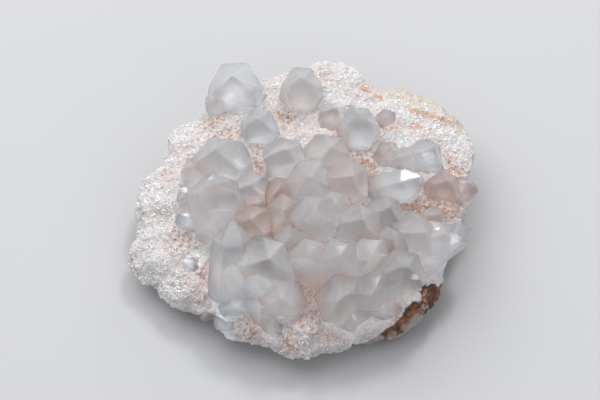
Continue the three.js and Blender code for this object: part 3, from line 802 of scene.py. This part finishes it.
def scatterTree():
    tree, given, out = newTree("scatterGrains", "GeometryNodeTree", [
        ("Geometry", "NodeSocketGeometry", None), ("Grains", "NodeSocketCollection", None),
        ("Spacing", "NodeSocketFloat", 1.0), ("Smallest", "NodeSocketFloat", 1.0),
        ("Largest", "NodeSocketFloat", 1.0), ("Sink", "NodeSocketFloat", 0.0),
        ("Seed", "NodeSocketInt", 0), ("Material", "NodeSocketMaterial", None),
    ], [("Geometry", "NodeSocketGeometry")])
    scattered = addNode(tree, "GeometryNodeDistributePointsOnFaces", distribute_method="POISSON")
    tree.links.new(given["Geometry"], scattered.inputs["Mesh"])
    tree.links.new(given["Spacing"], scattered.inputs["Distance Min"])
    spacing = calc(tree, "MULTIPLY", given["Spacing"], given["Spacing"])
    tree.links.new(calc(tree, "DIVIDE", 2.5, spacing), scattered.inputs["Density Max"])  # more than will fit
    share = addNode(tree, "GeometryNodeInputNamedAttribute", data_type="FLOAT")
    share.inputs["Name"].default_value = "grainShare"
    tree.links.new(share.outputs["Attribute"], scattered.inputs["Density Factor"])
    tree.links.new(given["Seed"], scattered.inputs["Seed"])
    sunk = addNode(tree, "ShaderNodeVectorMath", operation="SCALE")
    tree.links.new(scattered.outputs["Normal"], sunk.inputs[0])
    tree.links.new(calc(tree, "MULTIPLY", given["Sink"], -1.0), sunk.inputs["Scale"])
    move = addNode(tree, "GeometryNodeSetPosition")
    tree.links.new(scattered.outputs["Points"], move.inputs["Geometry"])
    tree.links.new(sunk.outputs[0], move.inputs["Offset"])
    grains = addNode(tree, "GeometryNodeCollectionInfo")
    grains.inputs["Separate Children"].default_value = True
    grains.inputs["Reset Children"].default_value = True
    tree.links.new(given["Grains"], grains.inputs["Collection"])
    turn = addNode(tree, "FunctionNodeRandomValue", data_type="FLOAT_VECTOR")
    turn.inputs["Max"].default_value = (2 * math.pi,) * 3
    tree.links.new(given["Seed"], turn.inputs["Seed"])
    size = addNode(tree, "FunctionNodeRandomValue", data_type="FLOAT")
    tree.links.new(given["Smallest"], size.inputs[2])
    tree.links.new(given["Largest"], size.inputs[3])
    tree.links.new(calc(tree, "ADD", given["Seed"], 1.0), size.inputs["Seed"])
    planted = addNode(tree, "GeometryNodeInstanceOnPoints")
    tree.links.new(move.outputs[0], planted.inputs["Points"])
    tree.links.new(grains.outputs[0], planted.inputs["Instance"])
    planted.inputs["Pick Instance"].default_value = True
    tree.links.new(turn.outputs["Value"], planted.inputs["Rotation"])
    tree.links.new(size.outputs[1], planted.inputs["Scale"])
    tone = addNode(tree, "FunctionNodeRandomValue", data_type="FLOAT")
    tree.links.new(calc(tree, "ADD", given["Seed"], 2.0), tone.inputs["Seed"])
    keep = addNode(tree, "GeometryNodeStoreNamedAttribute", data_type="FLOAT", domain="INSTANCE")
    keep.inputs["Name"].default_value = "tone"
    tree.links.new(planted.outputs[0], keep.inputs["Geometry"])
    tree.links.new(tone.outputs[1], keep.inputs["Value"])
    real = addNode(tree, "GeometryNodeRealizeInstances")
    tree.links.new(keep.outputs[0], real.inputs[0])
    paint = addNode(tree, "GeometryNodeSetMaterial")
    tree.links.new(real.outputs[0], paint.inputs["Geometry"])
    tree.links.new(given["Material"], paint.inputs["Material"])
    tree.links.new(paint.outputs[0], out["Geometry"])
    return tree


def sugarMaterial():
    material, tree, shader = newMaterial("sugarGrains")
    vector = addNode(tree, "ShaderNodeTexCoord").outputs["Object"]
    tone = attribute(tree, "tone")
    tint = placeRockTint(tree, vector, 0.9)
    white = calc(tree, "MULTIPLY_ADD", tint["Dark"], -0.55, 0.6)  # stained grains are less white
    white = calc(tree, "MULTIPLY", tone, white)
    colour = blendColours(tree, white, tint["Color"], rockColours["grain"])
    tree.links.new(colour, shader.inputs["Base Color"])
    tree.links.new(remap(tree, tone, 0.0, 1.0, 0.5, 0.2, smooth=False), shader.inputs["Roughness"])
    shader.inputs["IOR"].default_value = 1.6
    return material


variants = bpy.data.collections.new("grainKinds")
scene.collection.children.link(variants)
grainMeshes(variants)
scatter = scatterTree()
sugar = sugarMaterial()
sugarPieces = []
rockPoints, rockNormals = meshPoints(rock.data), meshNormals(rock.data)
above = ramp(rockPoints[:, 2], sugarShape["bareBelow"], sugarShape["fullAbove"])
fromTop = ramp(rockNormals[:, 2], 0.05, 0.3)
uncovered = 1 - spread(rock.data, coverAt(rockPoints), 2)
plain = np.clip(1 - 0.8 * cream - 2.5 * rust - 0.35 * stain, 0, 1)
kinds = {  # piece: spacing, how thick the grains lie
    "sugarTop": (sugarShape["topSpacing"], fromTop * above * plain * uncovered),
    "sugarSide": (sugarShape["sideSpacing"], (1 - fromTop) * above * plain * uncovered),
}
for name, (spacing, share) in kinds.items():
    piece = newPiece(name, rock.data.copy())
    storeValues(piece.data, "grainShare", share)
    runTree(piece, scatter, Grains=variants, Spacing=spacing, Smallest=sugarShape["Smallest"],
            Largest=sugarShape["Largest"], Sink=sugarShape["Sink"], Seed=sugarShape["Seed"], Material=sugar)
    storeZones(piece.data)
    sugarPieces.append(piece)
    print(name, len(piece.data.polygons), "faces")
for grain in list(variants.objects):
    bpy.data.objects.remove(grain)
bpy.data.collections.remove(variants)
bpy.data.objects.remove(cadRock)

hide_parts("matrix_rock")
for piece in [rock, *crystals, frost, *sugarPieces]:
    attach(piece, "root")


# floor, lights and camera

stageLook = {
    "floorSize": 4, "floorColour": (0.41, 0.41, 0.415, 1), "floorRoughness": 0.6,
    "skyColour": (0.93, 0.95, 1.0, 1), "skyStrength": 0.73,
}


def studioFloor():
    bpy.ops.mesh.primitive_plane_add(size=stageLook["floorSize"])
    floor = bpy.context.object
    floor.name = "floor"
    material, _, shader = newMaterial("paleFloor")
    shader.inputs["Base Color"].default_value = stageLook["floorColour"]
    shader.inputs["Roughness"].default_value = stageLook["floorRoughness"]
    floor.data.materials.append(material)


studio = {  # name: place, aim, width, height, watts
    "overhead": ((-0.30, 0.28, 0.68), (0, 0, 0.01), 0.8, 0.8, 5.3),
    "frontFill": ((0.45, -0.60, 0.45), (0, 0, 0.01), 0.5, 0.5, 0.75),
    "backPanel": ((0.24, 0.80, 0.30), (0.025, 0, 0.018), 0.20, 0.16, 0.8),
    "glint": ((0.166, 0.376, 0.69), (0.025, 0, 0.02), 0.15, 0.14, 2.1),  # what the bright face mirrors
}


def studioLights():
    for name, (spot, aim, width, height, watts) in studio.items():
        light = bpy.data.lights.new(name, "AREA")
        light.shape = "RECTANGLE"
        light.size, light.size_y, light.energy = width, height, watts
        lamp = bpy.data.objects.new(name, light)
        lamp.location = spot
        lamp.rotation_euler = (Vector(aim) - Vector(spot)).to_track_quat("-Z", "Y").to_euler()
        scene.collection.objects.link(lamp)
    world = bpy.data.worlds.new("studio")
    scene.world = world
    world.use_nodes = True
    sky = world.node_tree.nodes["Background"]
    sky.inputs["Color"].default_value = stageLook["skyColour"]
    sky.inputs["Strength"].default_value = stageLook["skyStrength"]


view = {"elevation": 58, "lens": 180, "distance": 0.69, "aim": (-0.0005, -0.0002, 0.014)}


def studioCamera():
    data = bpy.data.cameras.new("camera")
    data.lens, data.sensor_width, data.clip_start = view["lens"], 36, 0.01
    camera = bpy.data.objects.new("camera", data)
    slope = math.radians(view["elevation"])
    back = Vector((0, -math.cos(slope), math.sin(slope)))
    camera.location = Vector(view["aim"]) + back * view["distance"]
    camera.rotation_euler = (-back).to_track_quat("-Z", "Y").to_euler()
    scene.collection.objects.link(camera)
    scene.camera = camera


studioFloor()
studioLights()
studioCamera()

bpy.context.view_layer.update()
